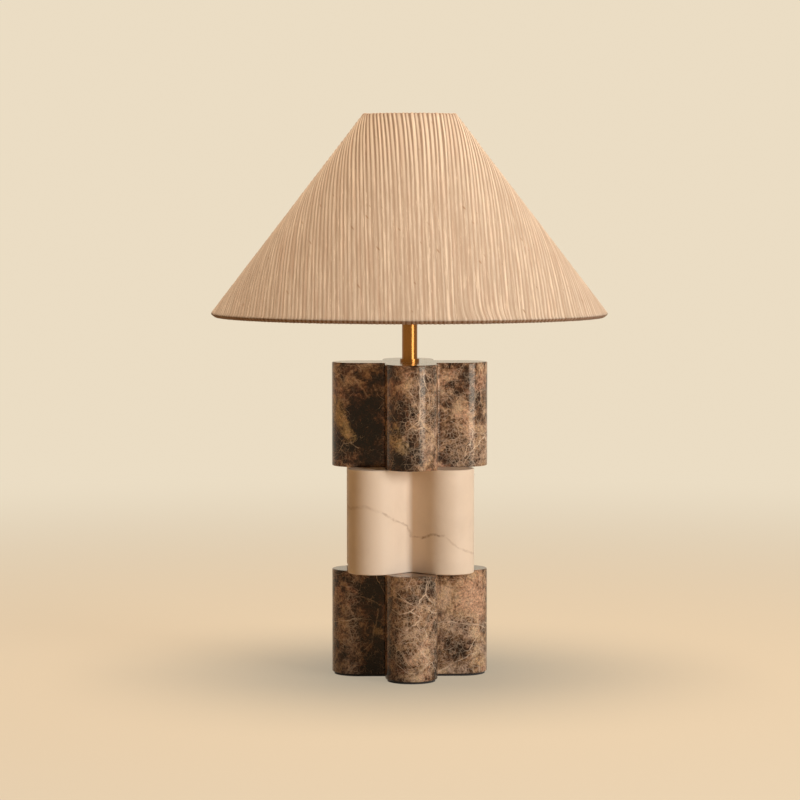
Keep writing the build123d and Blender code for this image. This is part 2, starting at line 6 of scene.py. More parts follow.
import bpy
import numpy as np
from bpy.props import FloatProperty, FloatVectorProperty, IntProperty, PointerProperty
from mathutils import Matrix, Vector


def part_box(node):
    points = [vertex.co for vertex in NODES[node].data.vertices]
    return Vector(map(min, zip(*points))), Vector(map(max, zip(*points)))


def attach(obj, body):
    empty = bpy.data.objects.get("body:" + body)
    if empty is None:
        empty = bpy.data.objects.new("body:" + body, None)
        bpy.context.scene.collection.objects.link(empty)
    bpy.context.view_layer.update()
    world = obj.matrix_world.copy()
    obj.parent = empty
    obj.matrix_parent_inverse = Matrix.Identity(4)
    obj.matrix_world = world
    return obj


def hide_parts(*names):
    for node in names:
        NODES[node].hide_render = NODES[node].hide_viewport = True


bl_info = {
    "name": "Marble Table Lamp",
    "version": (1, 0, 0),
    "blender": (4, 5, 0),
    "location": "View3D > Sidebar > Lamp",
    "description": "Stacked stone table lamp with a ribbed cone shade, dressed around its CAD frame",
    "category": "Add Mesh",
}

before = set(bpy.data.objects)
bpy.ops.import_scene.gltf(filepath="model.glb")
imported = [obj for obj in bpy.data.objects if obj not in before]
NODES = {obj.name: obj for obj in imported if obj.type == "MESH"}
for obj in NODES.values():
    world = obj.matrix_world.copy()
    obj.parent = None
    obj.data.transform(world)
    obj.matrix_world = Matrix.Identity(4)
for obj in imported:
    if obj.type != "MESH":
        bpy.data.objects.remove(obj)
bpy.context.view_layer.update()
MM = 0.001


# Settings

def colour(title, words, value):
    """Colour property in linear light."""
    return FloatVectorProperty(
        name=title, description=words, default=value, size=3, min=0.0, max=1.0, subtype="COLOR"
    )


def number(title, words, value, **kind):
    """Number property, with a unit, a subtype or a precision."""
    return FloatProperty(name=title, description=words, default=value, **kind)


def angle(title, words, degrees):
    """Angle property, with its default given in degrees."""
    return number(title, words, math.radians(degrees), subtype="ANGLE")


length = partial(number, unit="LENGTH", precision=5)
power = partial(number, unit="POWER")
share = partial(number, precision=4)


class StoneSettings(bpy.types.PropertyGroup):
    """Colours and polish of the three stone blocks."""

    dark_ground: colour("Dark ground", "Darkest colour of the dark stone", (0.01, 0.0045, 0.0028))
    dark_cloud: colour("Dark cloud", "Dark brown clouding of the dark stone", (0.046, 0.0205, 0.0105))
    brown: colour("Brown", "Middle brown of the dark stone", (0.138, 0.071, 0.039))
    tan: colour("Tan", "Tan patches of the dark stone", (0.3, 0.18, 0.106))
    pale: colour("Pale", "Palest patches of the dark stone", (0.49, 0.335, 0.213))
    ochre: colour("Ochre", "Ochre patches of the dark stone", (0.56, 0.39, 0.185))
    vein: colour("Light vein", "Hairline veins of the dark stone", (0.8, 0.6, 0.43))
    slate: colour("Slate", "Tint of the cool patches", (0.92, 0.91, 1.0))
    umber: colour("Umber", "Tint of the warm patches", (0.985, 0.96, 0.87))
    rose: colour("Rose", "Tint of the red patches", (1.0, 0.84, 0.82))
    level: share("Level", "Middle level of the dark stone's tone", 0.455)
    polish: share("Polish", "Roughness of the dark stone", 0.11)
    shine: share("Shine", "Strength of the dark stone's gloss", 0.25)
    gloss: colour("Gloss", "Tint of the dark stone's gloss", (1.0, 0.83, 0.66))
    cream: colour("Cream", "Main colour of the cream stone", (0.85, 0.69, 0.54))
    cream_cloud: colour("Cream cloud", "Clouding of the cream stone", (0.7, 0.555, 0.425))
    cream_fleck: colour("Cream fleck", "Pale flecks of the cream stone", (0.86, 0.72, 0.57))
    cream_vein: colour("Cream vein", "Vein of the cream stone", (0.36, 0.205, 0.11))
    hone: share("Hone", "Roughness of the cream stone", 0.4)


class MetalSettings(bpy.types.PropertyGroup):
    """Colours of the metal pieces."""

    brass: colour("Satin brass", "Brass of the neck and the lampholder", (0.25, 0.094, 0.012))
    bright: colour("Bright brass", "Brass of the contacts", (0.8, 0.58, 0.26))
    steel: colour("Plated steel", "Zinc plated rod, nuts and washers", (0.58, 0.57, 0.54))
    nickel: colour("Nickel", "Screw cap of the bulb", (0.7, 0.7, 0.71))
    brass_roughness: share("Brass roughness", "Roughness of the satin brass", 0.24)


class ShadeSettings(bpy.types.PropertyGroup):
    """Sizes and colours of the ribbed cloth cone."""

    rib_pitch: length("Rib pitch", "Mean width of a rib", 0.00377)
    rib_depth: length("Rib depth", "Height of a rib above its grooves", 0.00055)
    groove_offset: length("Groove offset", "Height of the grooves over the rings' centre line", 0.00263)
    edge_offset: length("Edge offset", "Height of the cut edges over the rings' centre line", 0.00256)
    hem_lap: length("Hem lap", "Width of the hem inside the shade", 0.008)
    seam_lap: angle("Seam lap", "How far the front panel laps over the back one", 1.6)
    seam_rise: length("Seam rise", "How far the lapped edge stands over the panel below", 0.0008)
    skew: angle("Skew", "Turn of the ribs in the flat panel", 0.3)
    top_twist: share("Top twist", "Twist of the ribs near the top ring", 0.042)
    twist_reach: length("Twist reach", "Slant length over which the top twist dies out", 0.02)
    hem_pull: length("Hem pull", "How far the bottom hem is pulled sideways right of the middle", 0.0036)
    pull_reach: length("Pull reach", "Slant length over which the hem's pull dies out", 0.0085)
    columns: IntProperty(name="Columns", description="Grid columns across one rib", default=8)
    rows: IntProperty(name="Rows", description="Grid rows down the cone", default=52)
    # Painted light: groove colours are painted shade, darkest at the top, and crests are painted lighter
    # towards the top; crest against groove is partly the cloth's own stripe
    ridge: colour("Top crest", "Colour of the ribs at the top", (0.65, 0.525, 0.41))
    crest: colour("Crest", "Colour of the ribs lower down", (0.543, 0.433, 0.34))
    groove: colour("Groove", "Colour between the ribs lower down", (0.427, 0.317, 0.234))
    top_groove_shade: colour("Deep groove", "Colour between the ribs at the top", (0.245, 0.163, 0.109))
    dull: colour("Dull", "Colour of the dullest ribs", (0.407, 0.297, 0.214))
    # Bright paints the highlight on the highest crests, and also the cloth's random bright streaks
    bright: colour("Bright", "Colour of the brightest crests", (0.75, 0.605, 0.468))
    blush: colour("Blush", "Tint of the rosier stretches", (1.0, 0.945, 0.925))
    speck: colour("Speck", "Colour of the knots in the yarn", (0.268, 0.152, 0.081))
    # Painted shade on the turned hems, darkest under the bottom ring
    hem: colour("Hem", "Colour of the turned edge round the rings", (0.19, 0.084, 0.03))
    passed: colour("Passed light", "Tint of the light that passes through the cloth", (1.0, 0.8, 0.58))
    glow: share("Glow share", "Share of light that passes through the cloth", 0.16)
    liner: colour("Liner", "Stiff liner behind the cloth", (0.86, 0.8, 0.7))
    wire: colour("Wire", "Powder coat of the carrier and rings", (0.8, 0.78, 0.74))


class BulbSettings(bpy.types.PropertyGroup):
    """Light of the bulb."""

    frost: colour("Frost", "Colour of the bulb's diffuser", (0.9, 0.86, 0.78))
    warm: colour("Warm light", "Colour of the bulb's light", (1.0, 0.66, 0.36))
    strength: share("Strength", "Brightness of the bulb's diffuser", 1.5)


class StageSettings(bpy.types.PropertyGroup):
    """Floor, lights and camera."""

    floor: colour("Floor", "Pale floor and its raised rim", (0.507, 0.403, 0.275))
    bounce: colour("Bounce", "Colour with which the floor lights the lamp", (0.43, 0.32, 0.2))
    veil: share("Veil", "Share of the background's colour in the floor beside the lamp", 0.45)
    background: colour("Background", "Pale background far from the lamp", (0.83, 0.72, 0.55))
    ambient: colour("Ambient", "Soft light from all round", (1.0, 0.84, 0.68))
    ambient_strength: share("Ambient strength", "Level of the light from all round", 0.05)
    key: colour("Key", "Colour of the main light", (0.97, 1.0, 1.0))
    key_power: power("Key power", "Power of the main light", 39.8)
    top: colour("Top", "Colour of the soft light from above", (1.0, 0.83, 0.64))
    top_power: power("Top power", "Power of the light above", 84.0)
    key_azimuth: angle("Key azimuth", "Direction of the main light, right of the front", 46.0)
    key_reach: length("Key reach", "Distance of the main light from the lamp's axis", 2.3)
    key_height: length("Key height", "Height of the main light", 0.62)
    camera_azimuth: angle("Camera azimuth", "Direction of the camera, right of the front", -1.9435)
    camera_distance: length("Camera distance", "Distance of the camera from the lamp's axis", 2.7274)
    camera_height: length("Camera height", "Height of the camera", 0.4296)
    camera_yaw: angle("Camera yaw", "Turn of the camera about the vertical", -1.759)
    camera_pitch: angle("Camera pitch", "Downward tilt of the camera", 3.787)
    lens: number("Lens", "Focal length in millimetres", 135.6, subtype="DISTANCE_CAMERA")


# Node helpers for the finishes

def scaled(values, factor):
    """Each of some values, such as the channels of a colour, times a factor."""
    return tuple(factor * value for value in values)


class Nodes:
    """A shader node tree, with short ways to add and join its nodes."""

    def __init__(self, tree, output):
        """Take a tree and the name of its output node."""
        self.tree = tree
        self.output = tree.nodes[output]

    def feed(self, node, sockets):
        """Link sockets to sockets, and put plain values into the rest."""
        for key, value in sockets.items():
            socket = node.inputs[key]
            if isinstance(value, bpy.types.NodeSocket):
                self.tree.links.new(value, socket)
            elif hasattr(socket.default_value, "__len__") and len(value) == 3:
                socket.default_value = (*value, 1)[:len(socket.default_value)]
            else:
                socket.default_value = value

    def node(self, kind, *values, sockets=(), **settings):
        """Add a shader node of a kind, set it up, and feed its sockets in order or by name."""
        node = self.tree.nodes.new("ShaderNode" + kind)
        for key, value in settings.items():
            setattr(node, key, value)
        self.feed(node, sockets or dict(enumerate(values)))
        return node

    def shift(self, vector, offset=(0, 0, 0), turn=(0, 0, 0), scale=(1, 1, 1)):
        """Move, turn and stretch a pattern's coordinates."""
        return self.node("Mapping", vector, offset, turn, scale).outputs[0]

    def noise(self, vector, scale, detail=4, roughness=0.55, output="Fac"):
        """Noise from 0 to 1, about one bump per 1 / scale metres."""
        sockets = {"Vector": vector, "Scale": scale, "Detail": detail, "Roughness": roughness}
        return self.node("TexNoise", sockets=sockets).outputs[output]

    def net(self, vector, scale, **settings):
        """Values of a net of cells."""
        return self.node("TexVoronoi", sockets={"Vector": vector, "Scale": scale}, **settings).outputs

    def channels(self, colour_socket):
        """Red, green and blue of a colour."""
        return self.node("SeparateColor", colour_socket).outputs

    def edges(self, vector, scale):
        """Distance to the nearest edge of a net of cells about 1 / scale metres wide."""
        return self.net(vector, scale, feature="DISTANCE_TO_EDGE")["Distance"]

    def cells(self, vector, scale):
        """Chance value from 0 to 1 of each cell of a net, the same cells as those of the edges."""
        return self.channels(self.net(vector, scale)["Color"])[0]

    def warp(self, vector, scale, amount):
        """Coordinates pushed about by noise, by up to half the amount each way."""
        push = self.noise(vector, scale, 3, output="Color")
        push = self.vector("SUBTRACT", push, (0.5, 0.5, 0.5))
        push = self.vector("MULTIPLY", push, (amount, amount, amount))
        return self.vector("ADD", vector, push)

    def vector(self, operation, first, second=(0, 0, 0), output="Vector"):
        """Vector sum, difference or product, or a length, distance or dot product as a value."""
        return self.node("VectorMath", first, second, operation=operation).outputs[output]

    def axis(self, vector, name):
        """One coordinate of a vector."""
        return self.node("SeparateXYZ", vector).outputs[name]

    def math(self, operation, first, second=0):
        """Sum, product, power and the like of two values."""
        return self.node("Math", first, second, operation=operation).outputs[0]

    def plus(self, first, second):
        """Sum of two values."""
        return self.math("ADD", first, second)

    def times(self, first, second):
        """Product of two values."""
        return self.math("MULTIPLY", first, second)

    def swing(self, value, size):
        """Value from 0 to 1 turned into a swing about 0, of a size in all."""
        return self.times(self.math("SUBTRACT", value, 0.5), size)

    def remap(self, value, low, high, to_low=0, to_high=1):
        """Smooth step from one range to another, held at its ends."""
        limits = (low, high, to_low, to_high)
        return self.node("MapRange", value, *limits, interpolation_type="SMOOTHSTEP").outputs[0]

    def mix(self, factor, first, second, blend="MIX"):
        """Blend of two colours."""
        sockets = {0: factor, 6: first, 7: second}
        return self.node("Mix", sockets=sockets, data_type="RGBA", blend_type=blend).outputs[2]

    def ramp(self, value, stops):
        """Colour read from a value through a list of (place, colour) stops."""
        node = self.node("ValToRGB", value)
        elements = node.color_ramp.elements
        for place, _ in stops[2:]:
            elements.new(place)
        for element, (place, tint) in zip(elements, stops):
            element.position = place
            element.color = (*tint, 1)
        return node.outputs["Color"]

    def grey(self, value):
        """Grey colour of a value."""
        return self.node("CombineColor", value, value, value).outputs[0]

    def near(self, vector, centre, reach):
        """Soft patch: 1 at a centre, falling to 0 at a reach given along each axis."""
        away = self.vector("DIVIDE", self.vector("SUBTRACT", vector, centre), reach)
        return self.remap(self.vector("LENGTH", away, output="Value"), 0.15, 1, 1, 0)

    def stretch(self, vector, start, end):
        """Distance to the straight stretch between two points."""
        along = tuple(b - a for a, b in zip(start, end))
        square = sum(part * part for part in along)
        away = self.vector("SUBTRACT", vector, start)
        done = self.vector("DOT_PRODUCT", away, tuple(part / square for part in along), "Value")
        sockets = {0: along, "Scale": self.node("Clamp", done).outputs[0]}
        foot = self.node("VectorMath", sockets=sockets, operation="SCALE").outputs[0]
        return self.vector("DISTANCE", away, foot, "Value")

    def attribute(self, name):
        """Value of one of the piece's own attributes."""
        return self.node("Attribute", attribute_name=name).outputs["Fac"]

    def surface(self, factor, first, second):
        """Join a blend of two shaders to the tree's output."""
        both = self.node("MixShader", factor, first.outputs[0], second.outputs[0])
        self.feed(self.output, {"Surface": both.outputs[0]})


class Finish(Nodes):
    """One procedural material, made around the plain shader."""

    def __init__(self, name, **sockets):
        """Make a material, and set sockets of its shader that are the same all over."""
        self.material = bpy.data.materials.new(name)
        self.material.use_nodes = True
        super().__init__(self.material.node_tree, "Material Output")
        self.shader = self.tree.nodes["Principled BSDF"]
        self.place = self.node("TexCoord").outputs["Object"]
        self.look(**sockets)

    def look(self, **sockets):
        """Feed sockets of the shader, named with underscores for spaces."""
        self.feed(self.shader, {key.replace("_", " "): value for key, value in sockets.items()})

    def bump(self, height, strength, distance):
        """Join a height to the shader as bump."""
        sockets = {"Height": height, "Strength": strength, "Distance": distance}
        self.look(Normal=self.node("Bump", sockets=sockets).outputs[0])


def dress(finish, *names):
    """Give CAD nodes a finish."""
    for name in names:
        slots = NODES[name].data.materials
        slots.clear()
        slots.append(finish.material)


# Stone finishes

def bias(f, place, patches):
    """Sum of soft patches, each with a centre and a reach along each axis, in mm, and a weight."""
    total = 0
    for centre, reach, weight in patches:
        patch = f.near(place, scaled(centre, MM), scaled(reach, MM))
        total = f.plus(f.times(patch, weight), total)
    return total


def placed_veins(f, body, veins):
    """Long veins: upright sheets through lines of points in X and Z, bent by noise.

    Each line has a width in mm, a strength, and its points in mm.
    """
    bent = f.warp(f.warp(body, 60, 0.006), 240, 0.0024)
    bent = f.vector("MULTIPLY", bent, (1, 0, 1))
    uneven = f.remap(f.noise(body, 130, 4, 0.65), 0.36, 0.58, 0.3, 1)
    lines = 0
    for width, strength, points in veins:
        places = [(MM * x, 0, MM * z) for x, z in points]
        for start, end in zip(places, places[1:]):
            line = f.remap(f.stretch(bent, start, end), 0, MM * width, strength, 0)
            lines = f.math("MAXIMUM", line, lines)
    return f.times(lines, uneven)


def dark_stone(name, stone, marks):
    """Dark brown broken stone: fragments from near black to tan, joined by nets of pale hairlines.

    The tone is noise in two sizes, a step for each fragment and soft patches, some of them painted
    shade, read through a ramp and tinted in wide patches of three hues.
    are the walls of cells in five sizes, broken up by noise, and a few long veins.
    """
    f = Finish(name, IOR=1.5, Specular_IOR_Level=stone.shine, Specular_Tint=stone.gloss)
    offset, tone_patches, ochre_patches, net_patches, veins = marks
    body = f.place
    place = f.shift(body, offset)
    loose = f.warp(place, 26, 0.022)
    kinked = f.warp(f.warp(place, 55, 0.008), 230, 0.0026)

    wide = f.swing(f.noise(loose, 34, 10, 0.7), 1.9)
    small = f.swing(f.noise(kinked, 170, 6, 0.8), 1.6)
    tone = f.plus(f.plus(wide, small), f.plus(bias(f, body, tone_patches), stone.level))
    for scale, step in ((45, 0.2), (150, 0.18)):
        tone = f.plus(tone, f.swing(f.cells(kinked, scale), step))
    stops = (
        (0.1, stone.dark_ground), (0.34, stone.dark_cloud), (0.49, stone.brown),
        (0.63, stone.tan), (0.86, stone.pale),
    )
    ground = f.ramp(tone, stops)
    ochre = f.plus(bias(f, body, ochre_patches), small)
    ground = f.mix(f.remap(ochre, 0.2, 0.72, 0, 0.82), ground, stone.ochre)
    hue = f.noise(f.shift(place, (2.1, 0.4, 1.3)), 32, 5, 0.62)
    tints = f.ramp(hue, ((0.37, stone.slate), (0.48, stone.umber), (0.6, stone.rose)))
    ground = f.mix(1, ground, tints, "MULTIPLY")
    grain = f.remap(f.noise(kinked, 560, 4, 0.8), 0.34, 0.66, 0.54, 1.56)
    ground = f.mix(1, ground, f.grey(grain), "MULTIPLY")

    # Each net of hairlines has a scale, a width as a share of its cells, and a strength
    nets = (
        (19, 0.0075, 0.9), (45, 0.014, 0.72), (95, 0.026, 0.4),
        (150, 0.046, 0.36), (330, 0.14, 0.38),
    )
    opening = bias(f, body, net_patches)
    lines = placed_veins(f, body, veins)
    for index, (scale, width, strength) in enumerate(nets):
        spot = f.shift(place, (0.7 * index, 0.3, 0.9 * index))
        broken = f.plus(f.noise(spot, 24 + 0.25 * scale, 5, 0.65), opening)
        net = f.remap(f.edges(kinked, scale), 0, width, strength, 0)
        lines = f.math("MAXIMUM", f.times(net, f.remap(broken, 0.46, 0.66)), lines)
    rough = f.remap(f.noise(place, 420, 3), 0.3, 0.7, stone.polish * 0.85, stone.polish * 1.25)
    f.look(Base_Color=f.mix(lines, ground, stone.vein), Roughness=f.plus(rough, f.times(lines, 0.08)))
    f.bump(lines, 0.06, -0.0002)
    return f


def cream_stone(stone):
    """Honed cream stone: faint clouds, a few pale flecks, and one thin broken brown vein."""
    f = Finish("cream_marble", IOR=1.5, Specular_IOR_Level=0.12)
    place = f.warp(f.place, 20, 0.02)
    cloud = f.remap(f.noise(place, 24, 7, 0.6), 0.4, 0.72)
    tone = f.mix(f.times(cloud, 0.45), stone.cream, stone.cream_cloud)
    fleck = f.remap(f.noise(f.warp(place, 90, 0.006), 120, 5, 0.65), 0.58, 0.74)
    tone = f.mix(f.times(fleck, 0.25), tone, stone.cream_fleck)
    veins = placed_veins(f, f.place, CREAM_VEINS)
    rough = f.remap(f.noise(place, 300, 3), 0.3, 0.7, stone.hone * 0.85, stone.hone * 1.2)
    f.look(Base_Color=f.mix(veins, tone, stone.cream_vein), Roughness=rough)
    f.bump(f.noise(place, 260, 4), 0.03, 0.0003)
    return f


# Metal and plastic finishes

def satin_metal(name, tint, roughness, brush, lacquer=0):
    """Satin metal: turning marks round the axis vary its roughness, with faint stains under lacquer."""
    f = Finish(name, Metallic=1, Coat_Weight=lacquer, Coat_Roughness=0.2)
    marks = f.noise(f.shift(f.place, scale=(60, 60, 60 * brush)), 20, 3, 0.6)
    stain = f.remap(f.noise(f.place, 45, 5), 0.35, 0.75)
    rough = f.remap(marks, 0.3, 0.7, roughness * 0.9, roughness * 1.12)
    f.look(Base_Color=f.mix(stain, tint, scaled(tint, 0.9)), Roughness=rough)
    f.bump(marks, 0.02, 0.00005)
    return f


def threaded_metal(name, tint, pitch):
    """Plated bar with a fine thread: rings at the thread's pitch as bump, dull in the roots."""
    f = Finish(name, Metallic=1)
    ridge = f.math("SINE", f.times(f.axis(f.place, "Z"), 2 * math.pi / pitch))
    stain = f.remap(f.noise(f.place, 90, 5), 0.35, 0.7)
    rough = f.remap(ridge, -1, 1, 0.45, 0.28)
    f.look(Base_Color=f.mix(stain, tint, scaled(tint, 0.75)), Roughness=rough)
    f.bump(ridge, 0.6, 0.0004)
    return f


def moulded(name, tint, roughness, grain, dirt):
    """Moulded or fired piece: faint grain in its roughness and bump, and a slightly uneven colour."""
    f = Finish(name)
    speckle = f.noise(f.place, grain, 4)
    uneven = f.remap(f.noise(f.place, 70, 5), 0.3, 0.75)
    rough = f.remap(speckle, 0.3, 0.7, roughness * 0.85, roughness * 1.15)
    f.look(Base_Color=f.mix(uneven, tint, scaled(tint, dirt)), Roughness=rough)
    f.bump(speckle, 0.08, 0.0002)
    return f


def felt_pad():
    """Dark felt: tangled fibres from warped noise, with sheen."""
    f = Finish("felt", Roughness=0.95, Sheen_Weight=0.3)
    fibre = f.noise(f.warp(f.place, 300, 0.004), 900, 5, 0.7)
    ground = (0.014, 0.011, 0.009)
    fluff = (0.05, 0.04, 0.033)
    f.look(Base_Color=f.mix(f.remap(fibre, 0.35, 0.7), ground, fluff))
    f.bump(fibre, 0.5, 0.0005)
    return f


# Bulb and shade finishes

def bulb_glow(bulb):
    """Frosted diffuser that shines: emission a little weaker towards its lower edge."""
    f = Finish("bulb_diffuser", Base_Color=bulb.frost, Emission_Strength=bulb.strength)
    low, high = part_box("bulb_diffuser")
    rise = f.remap(f.axis(f.place, "Z"), low.z, low.z + 0.4 * (high.z - low.z))
    frosted = f.remap(f.noise(f.place, 500, 3), 0.3, 0.7, 0.42, 0.55)
    f.look(Emission_Color=f.mix(rise, scaled(bulb.warm, 0.7), bulb.warm), Roughness=frosted)
    return f


def liner_finish(shade):
    """Stiff translucent liner: reflects and passes light about equally, with faint clouds."""
    f = Finish("shade_liner", Roughness=0.55)
    cloud = f.remap(f.noise(f.place, 40, 5), 0.3, 0.75)
    tone = f.mix(cloud, shade.liner, scaled(shade.liner, 0.93))
    f.look(Base_Color=tone)
    f.surface(0.45, f.shader, f.node("BsdfTranslucent", tone))
    f.bump(f.noise(f.place, 700, 3), 0.05, 0.0002)
    return f


def cloth_finish(shade, cone):
    """Ribbed slub cloth: crests and grooves by the rib height, uneven crests, knots and painted shade on
    the hems.

    Grooves carry painted shade and the highest crests a painted highlight, both strongest towards the
    top ring, where the cloth is also painted lighter; crest against groove is partly the cloth's own
    stripe.
    The flat map, across and along the ribs, drives the threads and knots. More of the bulb's light
    passes in the grooves than elsewhere.
    """
    f = Finish("shade_cloth", Roughness=0.9, Specular_IOR_Level=0.2)
    f.look(Sheen_Weight=0.1, Sheen_Roughness=0.6)
    flat = f.node("UVMap", uv_map="flat").outputs["UV"]
    height = f.attribute("rib_height")
    tone = f.attribute("rib_tone")
    thread = f.noise(f.shift(flat, scale=(300, 2400, 1)), 1, 2, 0.5)
    streak = f.noise(f.shift(flat, scale=(820, 34, 1)), 1, 4, 0.7)
    # Painted light: shade in the grooves and lighter crests, both stronger towards the top ring
    down = f.remap(f.axis(flat, "Y"), cone.top, 0.4 * cone.top + 0.6 * cone.bottom)
    painted_groove_shade = f.mix(down, shade.top_groove_shade, shade.groove)
    cover = f.mix(f.remap(height, 0.15, 0.85), painted_groove_shade, f.mix(down, shade.ridge, shade.crest))

    uneven = f.remap(down, 0, 1, 0.4, 1)
    cover = f.mix(f.times(f.remap(tone, 0.3, -1.1, 0, 0.6), uneven), cover, shade.dull)
    # Painted highlight on the highest crests, weaker lower down
    shine = f.times(f.remap(tone, 0, 1.1, 0, 0.8), f.remap(height, 0.6, 0.97))
    cover = f.mix(f.times(shine, f.remap(down, 0, 1, 1, 0.75)), cover, shade.bright)
    cover = f.mix(f.times(f.remap(streak, 0.53, 0.37, 0, 0.7), uneven), cover, shade.dull)
    cover = f.mix(f.times(f.remap(streak, 0.54, 0.68, 0, 0.62), uneven), cover, shade.bright)

    # Knots lie on slanting cells, in some cells only and of differing size
    slanting = f.shift(f.shift(flat, turn=(0, 0, 0.5)), scale=(115, 34, 1))
    cells = f.net(slanting, 1, voronoi_dimensions="2D")
    chance = f.channels(cells["Color"])
    reach = f.math("DIVIDE", cells["Distance"], f.remap(chance[1], 0, 1, 0.55, 1.45))
    knot = f.times(f.remap(reach, 0.025, 0.09, 0.66, 0), f.remap(chance[0], 0.74, 0.88))
    cover = f.mix(knot, cover, shade.speck)
    blush = f.remap(f.noise(f.shift(flat, scale=(260, 16, 1)), 1, 2), 0.45, 0.75, 0, 0.8)
    cover = f.mix(blush, cover, shade.blush, "MULTIPLY")
    # Painted shade on the turned hems, a little less on the crests
    painted_hem_shade = f.times(f.attribute("hem"), f.remap(height, 0, 0.6, 1, 0.66))
    cover = f.mix(painted_hem_shade, cover, shade.hem)
    f.look(Base_Color=cover)
    f.bump(f.plus(thread, f.times(streak, 0.8)), 0.3, 0.0003)
    through = f.node("BsdfTranslucent", f.mix(0.5, cover, shade.passed, "MULTIPLY"))
    f.surface(f.remap(height, 0, 1, shade.glow * 1.25, shade.glow * 0.85), f.shader, through)
    return f


# How the ribs differ from one another: shares of the pitch or of the mean, and lengths in metres

RIB_SCATTER = 0.16
LONGEST_RIB = 0.4
DRIFT, DRIFT_STEP = 0.00022, 0.05
OWN_TONE, TONE_DRIFT, TONE_STEP = 0.52, 0.5, 0.034
THICK, OWN_THICK, THICK_DRIFT, THICK_STEP = 0.95, 0.16, 0.2, 0.016
THINNEST, THICKEST = 0.45, 1.5
ARCH_POWER = 1.5
FLATTER_BELOW = 0.5
FLATTER_AT_SEAM = 0.85
PULL_BEGINS, PULL_ENDS = (0.02, 0.045), (0.06, 0.105)
INSIDE_CORNER = 0.999
HALVINGS = 40

# How the hems turn round the rings, their painted shade by degrees of that turn, and their flat map

ROLL = np.linspace(0, np.pi, 17)[1:]
LAP = np.array([0.5, 1.0, 1.0])
TOP_ROLL, BOTTOM_ROLL = 1.0, 0.55
RIM_DARK, TOP_DARK, TOP_DARKER, TOP_SPAN = 0.25, 0.35, 0.37, (0, 20)
BOTTOM_DARK, BOTTOM_SPAN = 0.95, (36, 54)
HEM_MAP = (0.0005, 0.02)


# Ribbed cloth panels

def ring_place(node):
    """Centre radius and centre height of a round wire ring of the frame."""
    low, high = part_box(node)
    return high.x - (high.z - low.z) / 2, (high.z + low.z) / 2


class Cone:
    """The cone through the two rings: its half angle, its apex and its slant distances from the apex."""

    def __init__(self):
        """Read the rings from the frame."""
        top_radius, top_height = ring_place("shade_top_ring")
        bottom_radius, bottom_height = ring_place("shade_bottom_ring")
        reach = bottom_radius - top_radius
        drop = top_height - bottom_height
        slant = math.hypot(reach, drop)
        self.sine = reach / slant
        self.cosine = drop / slant
        self.top = top_radius / self.sine
        self.bottom = bottom_radius / self.sine
        self.apex = top_height + self.top * self.cosine
        self.half_turn = math.pi / 2 * self.sine

    def points(self, slant, offset, turn):
        """Point at a slant distance, offset along the normal, at a turn about Z from the front."""
        radius = slant * self.sine + offset * self.cosine
        height = self.apex - slant * self.cosine + offset * self.sine
        return np.stack([radius * np.sin(turn), -radius * np.cos(turn), height], axis=-1)


def smooth(low, high, value):
    """Smooth step from 0 to 1 between two limits."""
    part = np.clip((value - low) / (high - low), 0, 1)
    return part * part * (3 - 2 * part)


def rib_angle(across, slant, cone, shade):
    """Flat angle of the ribs from the panel's middle, at slant distances.

    Ribs lie side by side in the flat panel, so a rib's distance across is slant * sin(angle). The whole
    panel is skewed a little, and twisted near the top ring by an amount that dies out down the cone.
    """
    lean = np.arcsin(np.clip(across / slant, -1, 1))
    near_top = np.exp(-(slant - cone.top) / shade.twist_reach)
    return lean + shade.skew - shade.top_twist * near_top


def rib_columns(low, high, shade, rng):
    """Columns across a panel: ribs of uneven width, each split evenly.

    Gives each column's distance across, its rib's number and its share of that rib.
    """
    count = int(round((high - low) / shade.rib_pitch))
    edges = np.linspace(low, high, count + 1)
    edges[1:-1] += rng.uniform(-RIB_SCATTER, RIB_SCATTER, count - 1) * shade.rib_pitch
    rib = np.append(np.repeat(np.arange(count), shade.columns), count - 1)
    part = np.append(np.tile(np.arange(shade.columns) / shade.columns, count), 1.0)
    return edges[rib] + part * (edges[rib + 1] - edges[rib]), rib, part


def rib_starts(across, edge, cone, shade):
    """Slant distance where each rib begins: the top ring, or the seam, found by halving the interval."""
    low = np.full(across.shape, cone.top)
    high = np.full(across.shape, cone.bottom)
    at_seam = np.abs(rib_angle(across, low, cone, shade)) > edge
    for _ in range(HALVINGS):
        middle = (low + high) / 2
        outside = np.abs(rib_angle(across, middle, cone, shade)) > edge
        low = np.where(outside, middle, low)
        high = np.where(outside, high, middle)
    return np.where(at_seam, high, cone.top), at_seam


def along_ribs(rib, slant, step, rng):
    """Seeded value that drifts along each rib: normal values at a step, joined by straight lines."""
    knots = rng.normal(0, 1, (int(rib.max()) + 1, int(LONGEST_RIB / step) + 2))
    place = slant / step + rng.uniform(0, 1, knots.shape[0])[rib]
    before = place.astype(int)
    share_after = place - before
    return knots[rib, before] * (1 - share_after) + knots[rib, before + 1] * share_after


def hem_rows(edge, way, offset, roundness, shade):
    """Rows of a hem beyond a rim: half a turn round the ring, a lap inside, and a step that closes it.

    The half turn takes the sine and the cosine to a power: 1 is a circle, and less is squarer.
    """
    roll = ROLL[:, None]
    beyond = np.abs(np.sin(roll)) ** roundness
    outward = np.sign(np.cos(roll)) * np.abs(np.cos(roll)) ** roundness
    lap = LAP[:, None] * shade.hem_lap
    slant = np.concatenate([edge + way * offset * beyond, edge - way * lap + 0 * offset])
    inside = np.stack([-offset, -offset, 0 * offset - shade.edge_offset])
    return slant, np.concatenate([offset * outward, inside])


def with_hems(rows, count):
    """Rows of the cone with the first and the last one repeated over the hems."""
    return np.concatenate([np.repeat(rows[:1], count, 0), rows, np.repeat(rows[-1:], count, 0)])


